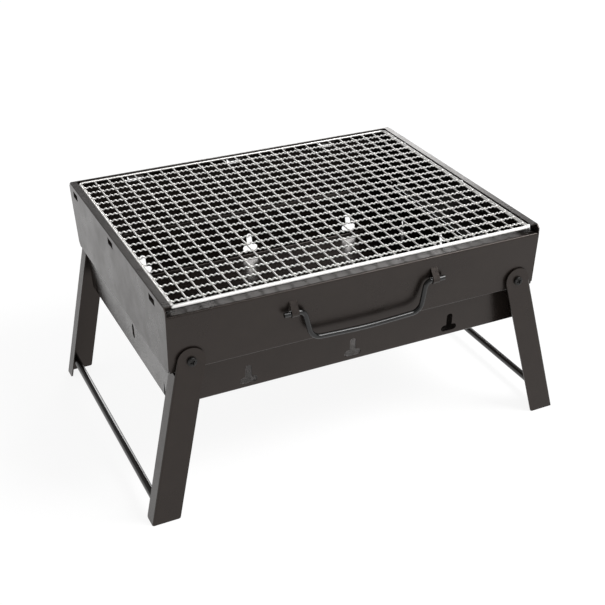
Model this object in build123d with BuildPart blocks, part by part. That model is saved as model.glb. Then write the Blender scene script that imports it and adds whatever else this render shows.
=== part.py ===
"""Folding camp grill: a four-walled sheet frame, a drop-down charcoal tray, a lift-off wire net,
two folding leg frames and a bail handle.

Millimetres. +X runs along the long side, +Y to the back and +Z up. The origin is on the ground under the
middle of the grill, with its legs open.
"""

import os
from math import cos, radians, sin

from build123d import *

# Frame
FRAME_LENGTH = 350.0  # outside of the two end walls
FRAME_DEPTH = 300.0  # outside of the rim
RIM_HEIGHT = 204.0  # top of the rim above the ground
WALL_HEIGHT = 63.8  # end walls, from the rim to their lower edge
WALL_LEAN = 8.3  # how far a long wall leans in towards its lower edge
RIM_BAND = 8.0  # upright band under the rim; the front wall starts below it
SHEET = 1.0
BEND_RADIUS = 1.8
END_FLANGE = 6.5  # rim flange of an end wall
REAR_FLANGE = 3.0
FRONT_LEDGE = 12.0  # flange on top of the low front wall
CORNER_CHAMFER = 3.5
FLANGE_GAP = 0.3  # between the ends of neighbouring rim flanges
RIM_ROUND = 0.8
WELD_TAB_WIDTH = 10.0
WELD_TAB_MARGIN = 7.0  # from each end of the long wall's slope

# Net seats, lanced out of the walls
SEAT_LENGTH = 15.0
SEAT_HEIGHT = 6.0
SEAT_REACH = 9.0
SEATS_PER_WALL = 3
END_SEAT_INSET = 28.5  # from the end of the wall to the outer seats, before the shift
END_SEAT_SHIFT = 7.0  # towards the back on the left wall, towards the front on the right one
REAR_SEAT_INSET = 70.5
REAR_SEAT_SHIFT = -6.0

# Net
NET_BELOW_RIM = 0.5
NET_GAP = 0.5  # between the net and the rim's flanges
NET_FRONT_BAR = 3.2
NET_EDGE_WIRE = 2.2  # the side and rear edges, one bent wire
NET_CORNER = 5.0
NET_WIRE = 1.5
NET_LAP = 0.2  # how deep welded wires sink into each other
REST_GAP = 0.3  # left under the net and under the tray's flanges
CROSS_WIRES = 26  # along Y
LONG_WIRES = 19  # along X
FRONT_CELL = 8.5  # from the front bar to the first long wire

# Charcoal tray
TRAY_SHEET = 0.8
TRAY_GAP = 3.0  # between the tray's ends and the end walls
TRAY_DROP = 42.2  # from the walls' lower edge down to the underside of the floor
TRAY_TAPER = 5.8  # how far each side leans in towards the floor
TRAY_LEG_GAP = 0.7  # from the tray's side to the legs' flanges when they fold beside it
TRAY_LIP_GAP = 1.1  # from the tray's side to the lip that carries its flange
TRAY_FLANGE_GAP = 4.5  # from the edge of the tray's flange to the outside of the wall's foot
TRAY_BEND = 2.4
VENTS_PER_SIDE = 3
FRONT_VENT_PITCH = 99.0
REAR_VENT_PITCH = 115.0
VENT_SHIFT = -3.0
VENT_SLOT = (16.0, 6.5)
VENT_NECK = (6.0, 14.0)
VENT_ABOVE_FLOOR = 5.0
END_VENT_SHIFT = 22.0
END_VENT_ABOVE_FLOOR = 16.0
NOTCH_WIDTH = 6.0
NOTCH_HEIGHT = 15.0
NOTCH_FROM_EDGE = 16.0

# Leg frames
PIVOT_INSET = 18.7  # from the outside of an end wall
PIVOT_ABOVE_EDGE = 10.2  # above the lower edge of the wall
LEG_INSET = 3.4  # from the outside of the rim back to a leg's outside face
LEG_SHEET = 1.2
LEG_WIDTH = 24.0
LEG_SPLAY = 13.4  # degrees outwards
LEG_FLANGE = 15.7
LEG_BEND = 1.8
LEG_STOP_GAP = 0.6  # from the top of a leg's flange up to the wall's lower edge
FOOT_CORNER = 2.0
CROSS_ROD = 7.0
CROSS_ROD_LIFT = 14.0  # from the ground to the leg's middle line beside the rod

# Pivot fasteners
SCREW = 4.0
SCREW_HEAD = 8.2
SCREW_HEAD_HEIGHT = 2.4
SCREW_HEAD_ROUND = 1.08
SCREW_TAIL = 0.4  # past the nut
SCREW_RECESS = (4.4, 1.1)  # length and width of the cross
SCREW_RECESS_DEPTH = 1.3
SCREW_RECESS_TURN = 20.0
RUNNING_FIT = 0.05
NUT_FLATS = 7.0
NUT_HEIGHT = 2.6
SPACER = 9.0
HEAD_CLEARANCE = 0.1

# Bail handle
HANDLE_ROD = 4.6
HANDLE_HALF = 76.0  # from the middle to the tip of a stub
HANDLE_SHOULDER = 58.0  # where a stub's line meets a side's
HANDLE_WAIST = 52.0
HANDLE_DROP = 28.5
HANDLE_BEND = 6.5  # beside the lugs
HANDLE_GRIP_BEND = 11.0  # at the ends of the grip
GRIP_SAG = 1.0  # each way from the mean height of the grip
GRIP_CURVE = 400.0
HANDLE_BELOW_RIM = 29.8
HANDLE_WALL_GAP = 1.6
LUG_X = 66.8
LUG_WIDTH = 6.5
LUG_HEIGHT = 12.0
LUG_RELIEF = 0.5  # cut free on each side of a lug
LUG_STRAIGHT = 1.5  # upright part of a lug, above the middle of the rod

# Positions worked out from the sizes above
HALF_LENGTH = FRAME_LENGTH / 2
HALF_DEPTH = FRAME_DEPTH / 2
WALL_FOOT = RIM_HEIGHT - WALL_HEIGHT
SLOPE_TOP = RIM_HEIGHT - RIM_BAND
SLOPE_HEIGHT = SLOPE_TOP - WALL_FOOT
LEAN = WALL_LEAN / SLOPE_HEIGHT
SHEET_ACROSS = SHEET * (1 + LEAN**2) ** 0.5  # thickness of a leaning wall, measured along Y
PIVOT_X = HALF_LENGTH - PIVOT_INSET
PIVOT_Z = WALL_FOOT + PIVOT_ABOVE_EDGE
LEG_PLANE = HALF_DEPTH - LEG_INSET
CROSS_ROD_DROP = (PIVOT_Z - CROSS_ROD_LIFT) / cos(radians(LEG_SPLAY))
HANDLE_HEIGHT = RIM_HEIGHT - HANDLE_BELOW_RIM
NET_TOP = RIM_HEIGHT - NET_BELOW_RIM
NET_MIDDLE = NET_TOP - NET_FRONT_BAR / 2
NET_UNDERSIDE = NET_MIDDLE - NET_EDGE_WIRE / 2
NET_SEAT = NET_UNDERSIDE - REST_GAP
TRAY_FLOOR = WALL_FOOT - TRAY_DROP
TRAY_RIM = WALL_FOOT + SHEET + REST_GAP + TRAY_SHEET
TRAY_RIM_DEPTH = 2 * (LEG_PLANE - LEG_FLANGE - TRAY_LEG_GAP)
TRAY_FLOOR_DEPTH = TRAY_RIM_DEPTH - 2 * TRAY_TAPER
TRAY_HALF_LENGTH = HALF_LENGTH - SHEET - TRAY_GAP


def wall_face(z):
    """Distance of a long wall's outside from the middle of the grill at height z."""
    return HALF_DEPTH - LEAN * max(0.0, SLOPE_TOP - z)


def both_ways(count, pitch, shift=0.0):
    """Evenly spaced positions about shift."""
    return [shift + pitch * (i - (count - 1) / 2) for i in range(count)]


def bent_sheet(points, thickness, radius, half_width):
    """A strip bent along the outline in the YZ plane, thickness to the left of its direction."""
    with BuildPart() as strip:
        with BuildSketch(Plane.YZ):
            with BuildLine():
                FilletPolyline(*points, radius=radius)
                offset(amount=thickness, side=Side.LEFT)
            make_face()
        extrude(amount=half_width, both=True)
    return strip.part


HANDLE_Y = wall_face(HANDLE_HEIGHT) + HANDLE_WALL_GAP + HANDLE_ROD / 2
TRAY_LIP = wall_face(WALL_FOOT) - TRAY_RIM_DEPTH / 2 - TRAY_LIP_GAP
TRAY_FLANGE = wall_face(WALL_FOOT) - TRAY_RIM_DEPTH / 2 - TRAY_FLANGE_GAP


# ---------------------------------------------------------------- frame walls
def long_wall(top_points, label, seats=(), lugs=()):
    """A front or rear wall, made as the front one: rim flange, sloping panel and tray lip."""
    foot = -wall_face(WALL_FOOT)
    outline = [*top_points, (foot, WALL_FOOT), (foot + TRAY_LIP, WALL_FOOT)]
    pin_face = wall_face(PIVOT_Z)
    lug_face = wall_face(HANDLE_HEIGHT)
    with BuildPart() as wall:
        add(bent_sheet(outline, SHEET, BEND_RADIUS, HALF_LENGTH - SHEET))
        for x in seats:
            with Locations((x, -HALF_DEPTH, NET_SEAT - SHEET - SEAT_HEIGHT / 2)):
                Box(SEAT_LENGTH, 4 * SHEET, SEAT_HEIGHT, mode=Mode.SUBTRACT)
            with Locations((x, -HALF_DEPTH + SEAT_REACH / 2, NET_SEAT - SHEET / 2)):
                Box(SEAT_LENGTH, SEAT_REACH, SHEET)
        with Locations(Plane.XZ.offset(pin_face)):
            with Locations((-PIVOT_X, PIVOT_Z), (PIVOT_X, PIVOT_Z)):
                Hole(SCREW / 2, depth=4 * SHEET)
        for x in lugs:
            with Locations((x, -lug_face, HANDLE_HEIGHT + HANDLE_ROD)):
                Box(LUG_WIDTH + 2 * LUG_RELIEF, 6 * SHEET, LUG_HEIGHT, mode=Mode.SUBTRACT)
            add(Pos(x, 0, 0) * handle_lug())
    wall.part.label = label
    return wall.part


def handle_lug():
    """A tongue that leaves the wall above the handle's rod and curls round its front and underside."""
    root = HANDLE_HEIGHT + HANDLE_ROD + LUG_HEIGHT / 2
    root_y = -wall_face(root) + SHEET / 2
    rod_y = -HANDLE_Y
    inner = HANDLE_ROD / 2 + RUNNING_FIT
    middle = inner + SHEET / 2
    with BuildPart() as lug:
        with BuildSketch(Plane.YZ):
            with BuildLine():
                slope = Line((root_y, root), (rod_y - middle, HANDLE_HEIGHT + LUG_STRAIGHT))
                curl = Line(slope @ 1, (rod_y - middle, HANDLE_HEIGHT))
                TangentArc(curl @ 1, (rod_y, HANDLE_HEIGHT - middle), tangent=curl % 1)
            trace(line_width=SHEET)
        extrude(amount=LUG_WIDTH / 2, both=True)
        with Locations(Location((0, rod_y, HANDLE_HEIGHT), (0, 90, 0))):
            Cylinder(inner, 2 * LUG_WIDTH, mode=Mode.SUBTRACT)
    return lug.part


front_top = [(-HALF_DEPTH + FRONT_LEDGE, SLOPE_TOP), (-HALF_DEPTH, SLOPE_TOP)]
rear_top = [
    (-HALF_DEPTH + REAR_FLANGE, RIM_HEIGHT),
    (-HALF_DEPTH, RIM_HEIGHT),
    (-HALF_DEPTH, SLOPE_TOP),
]
rear_seats = both_ways(SEATS_PER_WALL, HALF_LENGTH - REAR_SEAT_INSET, -REAR_SEAT_SHIFT)
front_panel = long_wall(front_top, "front_panel", lugs=(-LUG_X, LUG_X))
rear_panel = Rot(0, 0, 180) * long_wall(rear_top, "rear_panel", rear_seats)
rear_panel.label = "rear_panel"


def end_wall(label):
    """The left end wall: a flat panel, its rim flange, weld tabs behind the long walls and net seats."""
    foot = wall_face(WALL_FOOT)
    seats = both_ways(SEATS_PER_WALL, HALF_DEPTH - END_SEAT_INSET, END_SEAT_SHIFT)
    tab_top = SLOPE_TOP - WELD_TAB_MARGIN
    tab_foot = WALL_FOOT + WELD_TAB_MARGIN
    with BuildPart() as wall:
        with BuildSketch(Plane.YZ.offset(-HALF_LENGTH)):
            with BuildLine():
                Polyline(
                    (-HALF_DEPTH, RIM_HEIGHT),
                    (HALF_DEPTH, RIM_HEIGHT),
                    (HALF_DEPTH, SLOPE_TOP),
                    (foot, WALL_FOOT),
                    (-foot, WALL_FOOT),
                    (-HALF_DEPTH, SLOPE_TOP),
                    close=True,
                )
            face = make_face()
            chamfer(face.vertices().group_by(Axis.Z)[0], CORNER_CHAMFER)
        extrude(amount=SHEET)
        with Locations((-HALF_LENGTH + END_FLANGE / 2, 0, RIM_HEIGHT - SHEET / 2)):
            Box(END_FLANGE, FRAME_DEPTH - 2 * (REAR_FLANGE + FLANGE_GAP), SHEET)
        fillet(wall.edges().filter_by(Axis.Y).group_by(Axis.Z)[-1].sort_by(Axis.X)[0], RIM_ROUND)
        for y in seats:
            with Locations((-HALF_LENGTH, y, NET_SEAT - SHEET - SEAT_HEIGHT / 2)):
                Box(4 * SHEET, SEAT_LENGTH, SEAT_HEIGHT, mode=Mode.SUBTRACT)
            with Locations((-HALF_LENGTH + SEAT_REACH / 2, y, NET_SEAT - SHEET / 2)):
                Box(SEAT_REACH, SEAT_LENGTH, SHEET)
        for side in (-1, 1):
            with BuildSketch(Plane.YZ.offset(-HALF_LENGTH + SHEET)):
                with BuildLine():
                    Polyline(
                        (side * (wall_face(tab_top) - SHEET_ACROSS), tab_top),
                        (side * (wall_face(tab_top) - 2 * SHEET_ACROSS), tab_top),
                        (side * (wall_face(tab_foot) - 2 * SHEET_ACROSS), tab_foot),
                        (side * (wall_face(tab_foot) - SHEET_ACROSS), tab_foot),
                        close=True,
                    )
                make_face()
            extrude(amount=WELD_TAB_WIDTH)
    wall.part.label = label
    return wall.part


left_panel = end_wall("left_panel")
right_panel = Rot(0, 0, 180) * end_wall("right_panel")
right_panel.label = "right_panel"

# ---------------------------------------------------------------- charcoal tray
with BuildPart() as charcoal_tray:
    with BuildSketch(Plane.YZ):
        with BuildLine():
            Polyline(
                (-TRAY_FLOOR_DEPTH / 2, TRAY_FLOOR),
                (TRAY_FLOOR_DEPTH / 2, TRAY_FLOOR),
                (TRAY_RIM_DEPTH / 2, TRAY_RIM),
                (-TRAY_RIM_DEPTH / 2, TRAY_RIM),
                close=True,
            )
        make_face()
    extrude(amount=TRAY_HALF_LENGTH, both=True)
    fillet(charcoal_tray.edges().group_by(Axis.Z)[0], TRAY_BEND)
    offset(amount=-TRAY_SHEET, openings=charcoal_tray.faces().sort_by(Axis.Z)[-1])
    for side in (-1, 1):
        with Locations((0, side * (TRAY_RIM_DEPTH + TRAY_FLANGE) / 2, TRAY_RIM - TRAY_SHEET / 2)):
            Box(2 * TRAY_HALF_LENGTH, TRAY_FLANGE + TRAY_SHEET / 2, TRAY_SHEET)
    for side, pitch in ((-1, FRONT_VENT_PITCH), (1, REAR_VENT_PITCH)):
        for x in both_ways(VENTS_PER_SIDE, pitch, VENT_SHIFT):
            slot_z = TRAY_FLOOR + VENT_ABOVE_FLOOR + VENT_SLOT[1] / 2
            with BuildSketch(Plane.XZ.offset(-side * TRAY_FLOOR_DEPTH / 2)):
                with Locations((x, slot_z)):
                    SlotOverall(*VENT_SLOT)
                with Locations((x, slot_z + VENT_NECK[1] / 2)):
                    SlotOverall(VENT_NECK[1] + VENT_NECK[0] / 2, VENT_NECK[0], rotation=90)
            extrude(amount=TRAY_RIM_DEPTH - TRAY_FLOOR_DEPTH, both=True, mode=Mode.SUBTRACT)
    for side in (-1, 1):
        with BuildSketch(Plane.YZ.offset(side * TRAY_HALF_LENGTH)):
            with Locations((side * END_VENT_SHIFT, TRAY_FLOOR + END_VENT_ABOVE_FLOOR + VENT_NECK[1] / 2)):
                SlotOverall(VENT_NECK[1], VENT_NECK[0], rotation=90)
            notch_z = TRAY_FLOOR + TRAY_BEND
            for edge in (-1, 1):
                notch_y = edge * (TRAY_FLOOR_DEPTH / 2 - NOTCH_FROM_EDGE)
                with BuildLine():
                    Polyline(
                        (notch_y - NOTCH_WIDTH / 2, notch_z),
                        (notch_y + NOTCH_WIDTH / 2, notch_z),
                        (notch_y, notch_z + NOTCH_HEIGHT),
                        close=True,
                    )
                make_face()
        extrude(amount=2 * SHEET, both=True, mode=Mode.SUBTRACT)
charcoal_tray.part.label = "charcoal_tray"

# ---------------------------------------------------------------- net
net_half_length = HALF_LENGTH - END_FLANGE - NET_GAP
net_half_depth = HALF_DEPTH - REAR_FLANGE - NET_GAP
edge_x = net_half_length - NET_EDGE_WIRE / 2
edge_y = net_half_depth - NET_EDGE_WIRE / 2
bar_y = -net_half_depth + NET_FRONT_BAR / 2
long_pitch = (edge_y - bar_y - FRONT_CELL) / LONG_WIRES
cross_pitch = 2 * (edge_x - NET_EDGE_WIRE / 2 - NET_WIRE / 2) / (CROSS_WIRES - 1)
cross_front = bar_y + NET_FRONT_BAR / 2 - NET_LAP
cross_rear = edge_y - NET_EDGE_WIRE / 2 + NET_LAP
long_reach = edge_x - NET_EDGE_WIRE / 2 + NET_LAP

with BuildPart() as net_front_bar:
    with Locations(Location((0, bar_y, NET_MIDDLE), (0, 90, 0))):
        Cylinder(NET_FRONT_BAR / 2, 2 * net_half_length)
    fillet(net_front_bar.edges().group_by(Axis.X)[0], NET_FRONT_BAR / 4)
    fillet(net_front_bar.edges().group_by(Axis.X)[-1], NET_FRONT_BAR / 4)

with BuildPart() as net_edge_wire:
    with BuildLine(Plane.XY.offset(NET_MIDDLE)) as edge_path:
        FilletPolyline(
            (-edge_x, bar_y + NET_FRONT_BAR / 2 - NET_LAP),
            (-edge_x, edge_y),
            (edge_x, edge_y),
            (edge_x, bar_y + NET_FRONT_BAR / 2 - NET_LAP),
            radius=NET_CORNER,
        )
    with BuildSketch(Plane(edge_path.line @ 0, z_dir=edge_path.line % 0)):
        Circle(NET_EDGE_WIRE / 2)
    sweep()

with BuildPart() as net_cross_wires:
    low = NET_UNDERSIDE + NET_WIRE / 2
    middle_y = (cross_front + cross_rear) / 2
    spots = both_ways(CROSS_WIRES, cross_pitch)
    with Locations(*[Location((x, middle_y, low), (90, 0, 0)) for x in spots]):
        Cylinder(NET_WIRE / 2, cross_rear - cross_front)

with BuildPart() as net_long_wires:
    high = NET_UNDERSIDE + 1.5 * NET_WIRE - NET_LAP
    spots = [edge_y - long_pitch * (i + 1) for i in range(LONG_WIRES)]
    with Locations(*[Location((0, y, high), (0, 90, 0)) for y in spots]):
        Cylinder(NET_WIRE / 2, 2 * long_reach)


# ---------------------------------------------------------------- leg frames
def leg(label):
    """The front left leg, drawn upright about its pivot and then splayed outwards."""
    half = LEG_WIDTH / 2
    length = (PIVOT_Z + half) / cos(radians(LEG_SPLAY)) + half
    flange_top = PIVOT_ABOVE_EDGE + LEG_STOP_GAP
    with BuildPart() as upright:
        with BuildSketch(Plane.XY):
            with BuildLine():
                Polyline(
                    (half, LEG_SHEET),
                    (half, 0),
                    (-half, 0),
                    (-half, LEG_FLANGE),
                    (-half + LEG_SHEET, LEG_FLANGE),
                    (-half + LEG_SHEET, LEG_SHEET),
                    close=True,
                )
            section = make_face()
            corners = section.vertices().sort_by_distance((-half, 0))
            fillet(corners[0], LEG_BEND)
            fillet(corners[1], LEG_BEND - LEG_SHEET)
        extrude(amount=-length)
        with BuildSketch(Plane.XZ):
            Circle(half)
        extrude(amount=-LEG_SHEET)
    placed = Pos(-PIVOT_X, -LEG_PLANE, PIVOT_Z) * Rot(0, LEG_SPLAY, 0) * upright.part
    with BuildPart() as finished:
        add(placed)
        with Locations((-PIVOT_X, -LEG_PLANE, -length / 2)):
            Box(4 * length, 4 * LEG_FLANGE, length, mode=Mode.SUBTRACT)
        with Locations((-PIVOT_X, -LEG_PLANE + LEG_SHEET + LEG_FLANGE, PIVOT_Z - flange_top + length / 2)):
            Box(2 * length, 2 * LEG_FLANGE, length, mode=Mode.SUBTRACT)
        ground_edges = finished.edges().group_by(Axis.Z)[0]
        fillet(ground_edges.filter_by(Axis.Y).sort_by(Axis.X)[-1], FOOT_CORNER)
        ground_edges = finished.edges().group_by(Axis.Z)[0]
        fillet(ground_edges.sort_by(Axis.Y)[-1], FOOT_CORNER)
        with Locations(Plane.XZ.offset(LEG_PLANE)):
            with Locations((-PIVOT_X, PIVOT_Z)):
                Hole(SCREW / 2 + RUNNING_FIT, depth=2 * LEG_SHEET)
    finished.part.label = label
    return finished.part


leg_front_left = leg("leg_front_left")
leg_rear_left = mirror(leg_front_left, about=Plane.XZ)
leg_rear_right = Rot(0, 0, 180) * leg_front_left
leg_front_right = mirror(leg_front_left, about=Plane.YZ)
leg_rear_left.label = "leg_rear_left"
leg_rear_right.label = "leg_rear_right"
leg_front_right.label = "leg_front_right"

rod_out = LEG_WIDTH / 2 - LEG_SHEET - CROSS_ROD / 2
splay = radians(LEG_SPLAY)
rod_x = PIVOT_X + CROSS_ROD_DROP * sin(splay) + rod_out * cos(splay)
rod_z = PIVOT_Z - CROSS_ROD_DROP * cos(splay) + rod_out * sin(splay)
cross_rods = {}
for label, x in (("cross_rod_left", -rod_x), ("cross_rod_right", rod_x)):
    with BuildPart() as rod:
        with Locations(Location((x, 0, rod_z), (90, 0, 0))):
            Cylinder(CROSS_ROD / 2, 2 * (LEG_PLANE - LEG_SHEET))
    rod.part.label = label
    cross_rods[label] = rod.part

# ---------------------------------------------------------------- pivot fasteners
pivot_planes = [
    Plane((x, side * LEG_PLANE, PIVOT_Z), x_dir=(-side, 0, 0), z_dir=(0, side, 0))
    for x in (-PIVOT_X, PIVOT_X)
    for side in (-1, 1)
]
nut_depth = LEG_PLANE - wall_face(PIVOT_Z - NUT_FLATS / 2) + SHEET_ACROSS
spacer_depth = LEG_PLANE - wall_face(PIVOT_Z + SPACER / 2)
shank_depth = nut_depth + NUT_HEIGHT + SCREW_TAIL

with BuildPart() as screw:
    with BuildSketch(Plane.XY.offset(HEAD_CLEARANCE)):
        Circle(SCREW_HEAD / 2)
    extrude(amount=SCREW_HEAD_HEIGHT)
    fillet(screw.edges().group_by(Axis.Z)[-1], SCREW_HEAD_ROUND)
    with BuildSketch(Plane.XY.offset(HEAD_CLEARANCE + SCREW_HEAD_HEIGHT)):
        Rectangle(*SCREW_RECESS, rotation=SCREW_RECESS_TURN)
        Rectangle(*SCREW_RECESS, rotation=SCREW_RECESS_TURN + 90)
    extrude(amount=-SCREW_RECESS_DEPTH, mode=Mode.SUBTRACT)
    with BuildSketch(Plane.XY.offset(HEAD_CLEARANCE)):
        Circle(SCREW / 2)
    extrude(amount=-shank_depth - HEAD_CLEARANCE)

with BuildPart() as nut:
    with BuildSketch(Plane.XY.offset(-nut_depth)):
        RegularPolygon(NUT_FLATS / 2, 6, major_radius=False)
        Circle(SCREW / 2, mode=Mode.SUBTRACT)
    extrude(amount=-NUT_HEIGHT)

with BuildPart() as spacer:
    with BuildSketch(Plane.XY.offset(-spacer_depth)):
        Circle(SPACER / 2)
        Circle(SCREW / 2, mode=Mode.SUBTRACT)
    extrude(amount=spacer_depth - LEG_SHEET - HEAD_CLEARANCE)

fasteners = {}
for label, pattern in (("pivot_screws", screw), ("pivot_nuts", nut), ("pivot_spacers", spacer)):
    with BuildPart() as group:
        for plane in pivot_planes:
            add(plane.location * pattern.part)
    group.part.label = label
    fasteners[label] = group.part


# ---------------------------------------------------------------- bail handle
# Stubs in the lugs, S-curved sides and a grip that sags a little.
waist_z = HANDLE_HEIGHT - HANDLE_DROP
with BuildPart() as front_handle:
    with BuildLine(Plane.XZ.offset(HANDLE_Y)) as handle_path:
        FilletPolyline(
            (-HANDLE_HALF, HANDLE_HEIGHT),
            (-HANDLE_SHOULDER, HANDLE_HEIGHT),
            (-HANDLE_WAIST, waist_z + GRIP_SAG),
            (0, waist_z - GRIP_SAG),
            (HANDLE_WAIST, waist_z + GRIP_SAG),
            (HANDLE_SHOULDER, HANDLE_HEIGHT),
            (HANDLE_HALF, HANDLE_HEIGHT),
            radius=[HANDLE_BEND, HANDLE_GRIP_BEND, GRIP_CURVE, HANDLE_GRIP_BEND, HANDLE_BEND],
        )
    with BuildSketch(Plane(handle_path.line @ 0, z_dir=handle_path.line % 0)):
        Circle(HANDLE_ROD / 2)
    sweep()

# ---------------------------------------------------------------- output
os.makedirs("parts", exist_ok=True)
pieces = {
    "front_panel": front_panel,
    "rear_panel": rear_panel,
    "left_panel": left_panel,
    "right_panel": right_panel,
    "charcoal_tray": charcoal_tray.part,
    "net_front_bar": net_front_bar.part,
    "net_edge_wire": net_edge_wire.part,
    "net_cross_wires": net_cross_wires.part,
    "net_long_wires": net_long_wires.part,
    "leg_front_left": leg_front_left,
    "leg_rear_left": leg_rear_left,
    "leg_front_right": leg_front_right,
    "leg_rear_right": leg_rear_right,
    "cross_rod_left": cross_rods["cross_rod_left"],
    "cross_rod_right": cross_rods["cross_rod_right"],
    **fasteners,
    "front_handle": front_handle.part,
}
for name, piece in pieces.items():
    piece.label = name
    export_step(piece, f"parts/{name}.step")
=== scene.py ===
"""Looks of the folding camp grill: a net of plated wire, satin heat-proof paint and studio light."""

import math

import bpy
import numpy as np
from bpy.props import FloatProperty, FloatVectorProperty, IntProperty, PointerProperty
from mathutils import Matrix, Vector


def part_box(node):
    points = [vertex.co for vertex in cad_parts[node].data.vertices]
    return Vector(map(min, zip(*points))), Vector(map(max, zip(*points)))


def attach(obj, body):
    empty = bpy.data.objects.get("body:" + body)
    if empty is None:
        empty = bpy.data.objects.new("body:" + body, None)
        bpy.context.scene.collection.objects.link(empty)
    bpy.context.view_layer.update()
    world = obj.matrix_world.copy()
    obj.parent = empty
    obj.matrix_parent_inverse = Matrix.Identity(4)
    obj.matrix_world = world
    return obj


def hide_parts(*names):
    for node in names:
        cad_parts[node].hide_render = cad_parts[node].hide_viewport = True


bl_info = {
    "name": "Folding Camp Grill",
    "version": (1, 0, 0),
    "blender": (4, 5, 0),
    "location": "3D View > Sidebar > Camp Grill",
    "description": "Builds the net, the finishes and the studio of a folding camp grill",
    "category": "Object",
}

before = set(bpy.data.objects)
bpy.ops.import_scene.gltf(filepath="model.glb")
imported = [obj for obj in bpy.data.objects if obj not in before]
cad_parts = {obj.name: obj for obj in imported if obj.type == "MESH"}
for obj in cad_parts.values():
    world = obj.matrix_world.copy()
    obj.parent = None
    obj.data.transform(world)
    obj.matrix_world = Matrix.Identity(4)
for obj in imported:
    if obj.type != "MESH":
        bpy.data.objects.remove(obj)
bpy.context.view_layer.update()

PAINTED_WALLS = ("front_panel", "rear_panel", "left_panel", "right_panel")
PAINTED_LEGS = ("leg_front_left", "leg_rear_left", "leg_front_right", "leg_rear_right")
CROSS_RODS = ("cross_rod_left", "cross_rod_right")
FASTENERS = ("pivot_screws", "pivot_nuts", "pivot_spacers")
HANDLES = ("front_handle",)

bar_low, bar_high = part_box("net_front_bar")
edge_low, edge_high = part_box("net_edge_wire")
cross_low, cross_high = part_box("net_cross_wires")
long_low, long_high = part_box("net_long_wires")

NET_CORNER = 0.005  # radius of the edge wire's corners
LONG_DROP = 0.0006  # from the middle of the plain long wires down to the middle of the crimped ones

ROD_SIDES = 20  # flat sides round the front bar
RIM_SIDES = 14  # round the edge wire
CROSS_SIDES = 10  # round a cross wire
LONG_SIDES = 8  # round a long wire
TIP_RINGS = 6  # rings in a rounded tip of the front bar, before its last small one
TIP_CUT = 0.01  # what a tip's last ring stops short by, as a share of the bar's radius
BAR_RINGS = 39  # rings between the tips
CORNER_RINGS = 9  # rings round a corner of the edge wire
RUN_RINGS = 30  # rings along a straight run of wire
WAVE_RINGS = 8  # rings in each wave of a long wire

FLOOR_FLAT = 15.0  # half the width of the floor's flat middle
FLOOR_HALF = 30.0  # from the middle of the floor to its sides
FLOOR_RISE = 9.0  # height of the floor's sides
FLOOR_STEPS = 60  # squares along each side of the floor
FLOOR_CELLS = 6.0  # cells per metre of the floor's mottling
LOOK_AT = (0.0, 0.0, 0.12)  # the point that the lights face
WORLD_STRENGTH = 0.27
LIGHTS = (
    # name, place, side in metres, and the setting that holds its power
    ("key_light", (0.9, -0.9, 1.5), 0.9, "key"),
    ("fill_light", (-1.6, 0.1, 0.9), 1.2, "fill"),
    ("top_light", (0.9, 1.9, 0.75), 0.9, "top"),
)


# ---------------------------------------------------------------- sizes and colours
class NetSettings(bpy.types.PropertyGroup):
    """Sizes of the cooking net."""

    cross_wires: IntProperty(name="Cross wires", description="Wires from front to back", default=26, min=2)
    long_wires: IntProperty(name="Long wires", description="Crimped wires along the grill", default=19, min=2)
    wire: FloatProperty(name="Wire", description="Diameter of a net wire", default=0.0015, unit="LENGTH")
    crimp: FloatProperty(
        name="Crimp", description="Height of a long wire's waves, peak to peak", default=0.0013, unit="LENGTH"
    )
    waves: IntProperty(name="Waves", description="Waves of a long wire in each cell", default=3, min=1)
    turn: FloatProperty(
        name="Turn",
        description="How far the loose net lies turned in the frame",
        default=math.radians(-0.1),
        subtype="ANGLE",
    )


class FinishSettings(bpy.types.PropertyGroup):
    """Colours of the finishes."""

    paint: FloatVectorProperty(
        name="Paint",
        description="Satin heat-proof paint of the sheets",
        subtype="COLOR",
        default=(0.0080, 0.0060, 0.0050),
    )
    gloss: FloatVectorProperty(
        name="Handle",
        description="Gloss black of the handle",
        subtype="COLOR",
        default=(0.0035, 0.0035, 0.0035),
    )
    wire: FloatVectorProperty(
        name="Wire", description="Bright plating of the net", subtype="COLOR", default=(0.88, 0.87, 0.85)
    )
    screw: FloatVectorProperty(
        name="Screws",
        description="Blackened steel of the pivots",
        subtype="COLOR",
        default=(0.014, 0.0135, 0.013),
    )
    floor: FloatVectorProperty(
        name="Floor", description="Plain pale studio floor", subtype="COLOR", default=(0.9, 0.9, 0.9)
    )


class StudioSettings(bpy.types.PropertyGroup):
    """Camera and lights."""

    azimuth: FloatProperty(
        name="Azimuth",
        description="Camera's turn about the upright, 0 in front and below 0 to the left",
        default=math.radians(-28.60),
        subtype="ANGLE",
    )
    elevation: FloatProperty(
        name="Elevation",
        description="How steeply the camera looks down",
        default=math.radians(28.51),
        subtype="ANGLE",
    )
    roll: FloatProperty(name="Roll", description="Camera's tilt", default=math.radians(0.336), subtype="ANGLE")
    place: FloatVectorProperty(
        name="Place",
        description="Camera's position",
        subtype="TRANSLATION",
        default=(-0.3880, -0.95309, 0.63535),
    )
    lens: FloatProperty(name="Lens", description="Focal length in millimetres", default=69.94)
    shift_x: FloatProperty(name="Shift X", description="Camera's shift to the side", default=-0.1904)
    shift_y: FloatProperty(name="Shift Y", description="Camera's shift upwards", default=0.0275)
    key: FloatProperty(name="Key light", description="Power of the key light in watts", default=27.0)
    fill: FloatProperty(name="Fill light", description="Power of the fill light in watts", default=1.5)
    top: FloatProperty(
        name="Top light", description="Power in watts of the light that the tops reflect", default=12.0
    )


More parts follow.
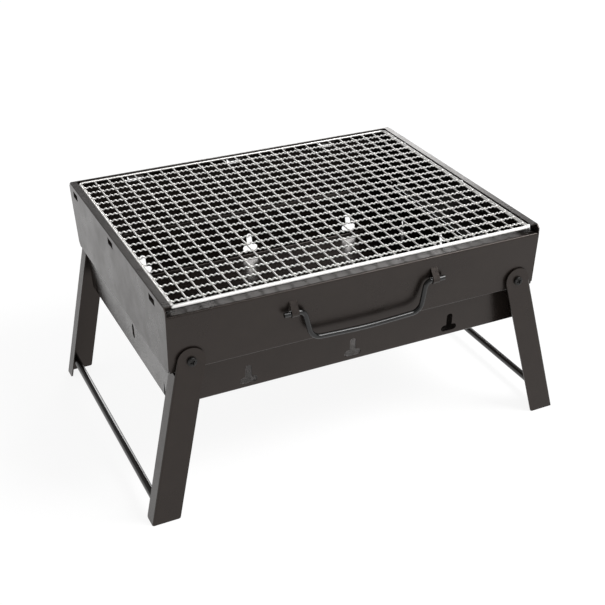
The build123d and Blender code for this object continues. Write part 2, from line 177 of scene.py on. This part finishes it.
# ---------------------------------------------------------------- shader maths
class Sock:
    """A node socket whose arithmetic adds Math nodes to its tree."""

    def __init__(self, shader, socket):
        self.shader = shader
        self.socket = socket

    def _math(self, operation, a, b):
        return self.shader.node("ShaderNodeMath", {"operation": operation}, {0: a, 1: b})

    def __add__(self, other):
        return self._math("ADD", self, other)

    def __radd__(self, other):
        return self._math("ADD", other, self)

    def __sub__(self, other):
        return self._math("SUBTRACT", self, other)

    def __rsub__(self, other):
        return self._math("SUBTRACT", other, self)

    def __mul__(self, other):
        return self._math("MULTIPLY", self, other)

    def __rmul__(self, other):
        return self._math("MULTIPLY", other, self)


class Shader:
    """A material whose nodes are added one method call at a time."""

    def __init__(self, name):
        self.material = bpy.data.materials.new(name)
        self.material.use_nodes = True
        self.tree = self.material.node_tree
        self.surface = self.tree.nodes["Principled BSDF"]
        self.place = self.node("ShaderNodeTexCoord", {}, {}, "Object")

    def node(self, kind, settings, values, output=0):
        """A node of this kind: settings first, then a value or a link for each socket."""
        made = self.tree.nodes.new(kind)
        for key, value in settings.items():
            setattr(made, key, value)
        for key, value in values.items():
            self.feed(made.inputs[key], value)
        return Sock(self, made.outputs[output])

    def feed(self, target, value):
        """Puts a number, a colour or a link on a socket."""
        if isinstance(value, Sock):
            self.tree.links.new(value.socket, target)
        else:
            target.default_value = value

    def noise(self, scale, detail=3.0):
        """Noise from 0 to 1 over the piece, scale in cells per metre."""
        return self.node(
            "ShaderNodeTexNoise", {}, {"Vector": self.place, "Scale": scale, "Detail": detail}, "Fac"
        )

    def ramp(self, value, low, high, to_low=0.0, to_high=1.0):
        """A value's stretch from low to high, mapped to to_low and to_high and held outside it."""
        return self.node(
            "ShaderNodeMapRange", {}, {0: value, 1: low, 2: high, 3: to_low, 4: to_high}
        )

    def blend(self, share, a, b):
        """Colour a where share is 0 and colour b where it is 1."""
        return self.node("ShaderNodeMix", {"data_type": "RGBA"}, {0: share, 6: a, 7: b}, 2)

    def bump(self, height, distance, strength=1.0):
        """Surface relief from a height from 0 to 1, distance in metres."""
        return self.node(
            "ShaderNodeBump", {}, {"Height": height, "Distance": distance, "Strength": strength}
        )

    def finish(self, **sockets):
        """Feeds the surface's sockets, underscores for the spaces in their names."""
        for key, value in sockets.items():
            self.feed(self.surface.inputs[key.replace("_", " ")], value)
        return self.material


def shade(colour, factor):
    """A colour made lighter or darker, with full alpha."""
    return tuple(min(1.0, c * factor) for c in colour) + (1.0,)


def satin_paint(name, colour, smooth, rough):
    """Satin heat-proof paint on thin sheet: orange peel, the sheet's slight waves, mottling and a thin bloom.

    The roughness lies between smooth and rough, and the bloom adds a little.
    """
    s = Shader(name)
    mottle = s.noise(24.0, 4.0)
    relief = s.noise(11.0, 1.0) + 0.05 * s.noise(2600.0, 2.0)
    bloom = s.ramp(s.noise(70.0, 5.0), 0.45, 0.75)
    base = s.blend(mottle, shade(colour, 0.6), shade(colour, 1.5))
    dusty = s.blend(bloom * 0.35, base, shade(colour, 1.9))
    return s.finish(
        Base_Color=dusty,
        Roughness=s.ramp(mottle, 0.25, 0.75, smooth, rough) + 0.05 * bloom,
        Specular_Tint=(1.0, 0.88, 0.82, 1.0),
        Specular_IOR_Level=0.4,
        Normal=s.bump(relief, 0.0012, 0.5),
    )


def gloss_black(name, colour):
    """Gloss black coat on round rod, with slight waves and rubbed spots."""
    s = Shader(name)
    waves = s.noise(160.0, 2.0)
    rubbed = s.ramp(s.noise(420.0, 4.0), 0.62, 0.72)
    return s.finish(
        Base_Color=s.blend(rubbed * 0.25, shade(colour, 1.0), shade(colour, 4.0)),
        Roughness=s.ramp(waves, 0.3, 0.7, 0.12, 0.2) + 0.12 * rubbed,
        Normal=s.bump(waves, 0.00005, 0.3),
    )


def plated_wire(name, colour):
    """Bright plated wire: a slightly uneven tint, a fine grain, and small spots where the plating is duller."""
    s = Shader(name)
    tint = s.noise(55.0, 3.0)
    spots = s.ramp(s.noise(900.0, 3.0), 0.6, 0.7)
    base = s.blend(tint, shade(colour, 0.9), shade(colour, 1.1))
    return s.finish(
        Base_Color=s.blend(spots * 0.3, base, shade(colour, 0.55)),
        Metallic=1.0,
        Roughness=s.ramp(tint, 0.3, 0.7, 0.44, 0.54) + 0.12 * spots,
        Normal=s.bump(s.noise(3000.0, 2.0), 0.00003, 0.4),
    )


def blackened_steel(name, colour):
    """Blackened steel: dark oxide worn to brighter metal in patches."""
    s = Shader(name)
    worn = s.ramp(s.noise(700.0, 4.0), 0.58, 0.7)
    return s.finish(
        Base_Color=s.blend(worn * 0.5, shade(colour, 1.0), shade(colour, 4.5)),
        Metallic=0.6,
        Roughness=0.36 - 0.1 * worn,
        Normal=s.bump(s.noise(2000.0, 2.0), 0.00004, 0.5),
    )


# ---------------------------------------------------------------- meshes
def tube_rows(paths, radius, sides, flat):
    """Tubes along many paths that each lie in a plane square to flat.

    paths is an array (wires, points, 3), and radius one number or one for each point. Each ring is
    centre + radius * (cos a * flat + sin a * over), where over is square to flat and to the path.
    Fans of triangles close the ends.
    """
    paths = np.asarray(paths, float)
    along = np.gradient(paths, axis=1)
    along /= np.linalg.norm(along, axis=2, keepdims=True)
    flat = np.broadcast_to(np.asarray(flat, float), along.shape)
    over = np.cross(along, flat)
    angle = np.linspace(0.0, 2.0 * np.pi, sides, endpoint=False)
    ring = (
        np.cos(angle)[None, None, :, None] * flat[:, :, None, :]
        + np.sin(angle)[None, None, :, None] * over[:, :, None, :]
    )
    wires, count = paths.shape[:2]
    size = np.broadcast_to(radius, (count,))[None, :, None, None]
    points = paths[:, :, None, :] + size * ring
    index = np.arange(wires * count * sides).reshape(wires, count, sides)
    after = np.roll(index, -1, axis=2)
    quads = np.stack([index[:, :-1], after[:, :-1], after[:, 1:], index[:, 1:]], axis=-1).reshape(-1, 4)
    tips = np.concatenate([paths[:, 0], paths[:, -1]])
    start = wires * count * sides + np.arange(wires)[:, None] + np.zeros((1, sides), int)
    caps = np.concatenate(
        [
            np.stack([start, after[:, 0], index[:, 0]], axis=-1).reshape(-1, 3),
            np.stack([start + wires, index[:, -1], after[:, -1]], axis=-1).reshape(-1, 3),
        ]
    )
    return np.concatenate([points.reshape(-1, 3), tips]), quads, caps


def add_mesh(name, body, material, tubes, replaced):
    """A smooth piece made of tubes, which rides on a body and stands for CAD nodes."""
    points, quads, caps = tubes
    mesh = bpy.data.meshes.new(name)
    mesh.from_pydata(points.tolist(), [], quads.tolist() + caps.tolist())
    mesh.validate()
    mesh.polygons.foreach_set("use_smooth", np.ones(len(mesh.polygons), bool))
    mesh.materials.append(material)
    piece = bpy.data.objects.new(name, mesh)
    bpy.context.scene.collection.objects.link(piece)
    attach(piece, body)
    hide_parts(*replaced)
    return piece


def turned(points, angle):
    """Points turned about the upright line through the middle of the grill."""
    c, s = math.cos(angle), math.sin(angle)
    x, y, z = np.moveaxis(np.asarray(points, float), -1, 0)
    return np.stack([c * x - s * y, s * x + c * y, z], axis=-1)


# ---------------------------------------------------------------- operators
class GRILL_OT_finishes(bpy.types.Operator):
    """Gives every sheet, rod and fastener of the frame its finish."""

    bl_idname = "camp_grill.finishes"
    bl_label = "Finishes"

    def execute(self, context):
        colours = context.scene.grill_finish
        paint = satin_paint("satin_black_paint", colours.paint, 0.24, 0.34)
        tray = satin_paint("satin_black_tray", colours.paint, 0.14, 0.22)
        gloss = gloss_black("gloss_black_rod", colours.gloss)
        rods = gloss_black("black_cross_rod", colours.paint)
        screws = blackened_steel("blackened_screw", colours.screw)
        finishes = (
            (PAINTED_WALLS + PAINTED_LEGS, paint),
            (("charcoal_tray",), tray),
            (HANDLES, gloss),
            (CROSS_RODS, rods),
            (FASTENERS, screws),
        )
        for names, material in finishes:
            for name in names:
                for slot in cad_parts[name].material_slots:
                    slot.material = material
        return {"FINISHED"}


class GRILL_OT_net(bpy.types.Operator):
    """Draws the net: straight cross wires, crimped long wires that ride on them, and the bars round them."""

    bl_idname = "camp_grill.net"
    bl_label = "Net"

    def execute(self, context):
        net = context.scene.grill_net
        wire = plated_wire("bright_wire", context.scene.grill_finish.wire)
        radius = net.wire / 2
        bar_radius = (bar_high.z - bar_low.z) / 2
        bar_y = (bar_high.y + bar_low.y) / 2
        bar_z = (bar_high.z + bar_low.z) / 2
        cross_x = np.linspace(cross_low.x + radius, cross_high.x - radius, net.cross_wires)
        long_y = np.linspace(long_low.y + radius, long_high.y - radius, net.long_wires)
        self.bars(net, wire, bar_radius, bar_y, bar_z)
        self.cross(net, wire, radius, cross_x, bar_y)
        self.long(net, wire, radius, cross_x, long_y)
        return {"FINISHED"}

    def bars(self, net, wire, bar_radius, bar_y, bar_z):
        """The front bar with rounded tips, and the edge wire bent round the other three sides.

        A tip's radius is bar * sqrt(1 - t * t), where t goes from 0 to nearly 1 along one bar radius.
        """
        reach = bar_high.x
        t = np.sin(np.linspace(0.0, np.pi / 2, TIP_RINGS + 1))[:-1]
        tip_x = np.concatenate([reach - bar_radius + bar_radius * t, [reach - bar_radius * TIP_CUT]])
        tip_size = bar_radius * np.sqrt(1.0 - ((tip_x - reach + bar_radius) / bar_radius) ** 2)
        middle_x = np.linspace(-reach + bar_radius, reach - bar_radius, BAR_RINGS + 2)[1:-1]
        x = np.concatenate([-tip_x[::-1], middle_x, tip_x])
        size = np.concatenate([tip_size[::-1], np.full(len(middle_x), bar_radius), tip_size])
        front = np.stack([x, np.full_like(x, bar_y), np.full_like(x, bar_z)], axis=-1)
        edge_radius = (edge_high.z - edge_low.z) / 2
        side_x = edge_high.x - edge_radius
        back_y = edge_high.y - edge_radius
        turn = np.linspace(0.0, np.pi / 2, CORNER_RINGS)
        run = np.linspace(bar_y, back_y - NET_CORNER, RUN_RINGS)
        left = np.stack([np.full_like(run, -side_x), run], axis=-1)
        bend = np.stack(
            [
                -side_x + NET_CORNER * (1 - np.cos(turn)),
                back_y - NET_CORNER + NET_CORNER * np.sin(turn),
            ],
            axis=-1,
        )
        half = np.concatenate([left, bend[1:]])
        path = np.concatenate([half, half[::-1] * [-1.0, 1.0]])
        edge = np.column_stack([path, np.full(len(path), (edge_high.z + edge_low.z) / 2)])
        rod = tube_rows([turned(front, net.turn)], size, ROD_SIDES, (0, 0, 1))
        rim = tube_rows([turned(edge, net.turn)], edge_radius, RIM_SIDES, (0, 0, 1))
        add_mesh("net_front_rod", "net", wire, rod, ["net_front_bar"])
        add_mesh("net_rim_wire", "net", wire, rim, ["net_edge_wire"])

    def cross(self, net, wire, radius, cross_x, bar_y):
        """Straight wires from the back of the net to the middle of the front bar, inside which they end."""
        level = (cross_low.z + cross_high.z) / 2
        y = np.linspace(cross_high.y, bar_y, RUN_RINGS)
        shape = (len(cross_x), len(y))
        paths = np.stack(
            [np.broadcast_to(cross_x[:, None], shape), np.broadcast_to(y, shape), np.full(shape, level)],
            axis=-1,
        )
        flat = turned(np.array([1.0, 0.0, 0.0]), net.turn)
        wires = tube_rows(turned(paths, net.turn), radius, CROSS_SIDES, flat)
        add_mesh("net_woven_cross", "net", wire, wires, ["net_cross_wires"])

    def long(self, net, wire, radius, cross_x, long_y):
        """Crimped wires: z = middle + half the crimp * cos(2 * pi * waves * x / cell).

        x is measured from the first cross wire, and a cell is the distance between two cross wires.
        """
        pitch = cross_x[1] - cross_x[0]
        x = np.linspace(long_low.x, long_high.x, (net.cross_wires - 1) * net.waves * WAVE_RINGS + 1)
        middle = (long_low.z + long_high.z) / 2 - LONG_DROP
        wave = net.crimp / 2 * np.cos(2 * np.pi * net.waves * (x - cross_x[0]) / pitch)
        paths = np.stack(
            [
                np.broadcast_to(x, (len(long_y), len(x))),
                np.broadcast_to(long_y[:, None], (len(long_y), len(x))),
                np.broadcast_to(middle + wave, (len(long_y), len(x))),
            ],
            axis=-1,
        )
        flat = turned(np.array([0.0, 1.0, 0.0]), net.turn)
        wires = tube_rows(turned(paths, net.turn), radius, LONG_SIDES, flat)
        add_mesh("net_crimped_long", "net", wire, wires, ["net_long_wires"])


class GRILL_OT_studio(bpy.types.Operator):
    """Sets up the pale floor, the soft lights and the camera."""

    bl_idname = "camp_grill.studio"
    bl_label = "Studio"

    def execute(self, context):
        studio = context.scene.grill_studio
        self.floor(context.scene.grill_finish.floor)
        for name, place, side, power in LIGHTS:
            self.light(name, place, side, getattr(studio, power))
        self.world()
        self.camera(studio)
        return {"FINISHED"}

    def floor(self, colour):
        """A square floor, flat in the middle and curving up at its sides: z = rise * share squared.

        The share goes from 0 at the edge of the flat part to 1 at the sides.
        """
        step = np.linspace(-FLOOR_HALF, FLOOR_HALF, FLOOR_STEPS + 1)
        x, y = np.meshgrid(step, step, indexing="ij")
        share = np.clip((np.maximum(abs(x), abs(y)) - FLOOR_FLAT) / (FLOOR_HALF - FLOOR_FLAT), 0.0, 1.0)
        points = np.stack([x, y, FLOOR_RISE * share**2], axis=-1).reshape(-1, 3)
        index = np.arange(x.size).reshape(x.shape)
        faces = np.stack([index[:-1, :-1], index[1:, :-1], index[1:, 1:], index[:-1, 1:]], axis=-1)
        mesh = bpy.data.meshes.new("studio_floor")
        mesh.from_pydata(points.tolist(), [], faces.reshape(-1, 4).tolist())
        s = Shader("pale_floor")
        mesh.materials.append(
            s.finish(
                Base_Color=s.blend(s.noise(FLOOR_CELLS), shade(colour, 0.205), shade(colour, 0.21)),
                Emission_Color=shade(colour, 1.0),
                Emission_Strength=0.98,
                Roughness=0.8,
                Specular_IOR_Level=0.0,
            )
        )
        floor = bpy.data.objects.new("studio_floor", mesh)
        bpy.context.scene.collection.objects.link(floor)

    def light(self, name, place, size, power):
        """A square soft light aimed at the middle of the grill and hidden from the camera."""
        data = bpy.data.lights.new(name, "AREA")
        data.size = size
        data.energy = power
        lamp = bpy.data.objects.new(name, data)
        lamp.location = place
        lamp.visible_camera = False
        lamp.rotation_mode = "QUATERNION"
        lamp.rotation_quaternion = (Vector(LOOK_AT) - Vector(place)).to_track_quat("-Z", "Y")
        bpy.context.scene.collection.objects.link(lamp)

    def world(self):
        """Even, dim white surroundings, and the plain view transform."""
        world = bpy.data.worlds.new("studio_world")
        world.use_nodes = True
        background = world.node_tree.nodes["Background"]
        background.inputs[0].default_value = (1.0, 1.0, 1.0, 1.0)
        background.inputs[1].default_value = WORLD_STRENGTH
        bpy.context.scene.world = world
        bpy.context.scene.view_settings.view_transform = "Standard"

    def camera(self, studio):
        """The camera's axes are right, up and back, turned by the roll about back."""
        az, el, roll = studio.azimuth, studio.elevation, studio.roll
        back = Vector((math.sin(az) * math.cos(el), -math.cos(az) * math.cos(el), math.sin(el)))
        right = (-back).cross(Vector((0, 0, 1))).normalized()
        up = right.cross(-back)
        right, up = (
            right * math.cos(roll) + up * math.sin(roll),
            up * math.cos(roll) - right * math.sin(roll),
        )
        data = bpy.data.cameras.new("camera")
        data.lens = studio.lens
        data.shift_x = studio.shift_x
        data.shift_y = studio.shift_y
        data.clip_end = 50.0
        camera = bpy.data.objects.new("camera", data)
        turn = Matrix((right, up, back)).transposed().to_4x4()
        camera.matrix_world = Matrix.Translation(Vector(studio.place)) @ turn
        bpy.context.scene.collection.objects.link(camera)
        bpy.context.scene.camera = camera


# ---------------------------------------------------------------- panel
class GRILL_PT_panel(bpy.types.Panel):
    """Lists the steps that build the grill's looks."""

    bl_idname = "GRILL_PT_panel"
    bl_label = "Camp Grill"
    bl_space_type = "VIEW_3D"
    bl_region_type = "UI"
    bl_category = "Camp Grill"

    def draw(self, context):
        for step in STEPS:
            self.layout.operator(step.bl_idname)


STEPS = (GRILL_OT_finishes, GRILL_OT_net, GRILL_OT_studio)
SETTINGS = (("grill_net", NetSettings), ("grill_finish", FinishSettings), ("grill_studio", StudioSettings))


def register():
    """Registers the settings, the steps and the panel."""
    for _, group in SETTINGS:
        bpy.utils.register_class(group)
    for name, group in SETTINGS:
        setattr(bpy.types.Scene, name, PointerProperty(type=group))
    for step in STEPS:
        bpy.utils.register_class(step)
    bpy.utils.register_class(GRILL_PT_panel)


def unregister():
    """Takes back what register added, in the opposite order."""
    bpy.utils.unregister_class(GRILL_PT_panel)
    for step in reversed(STEPS):
        bpy.utils.unregister_class(step)
    for name, group in reversed(SETTINGS):
        delattr(bpy.types.Scene, name)
        bpy.utils.unregister_class(group)


def main():
    """Builds the looks step by step."""
    register()
    bpy.ops.camp_grill.finishes()
    bpy.ops.camp_grill.net()
    bpy.ops.camp_grill.studio()


if __name__ == "__main__":
    main()
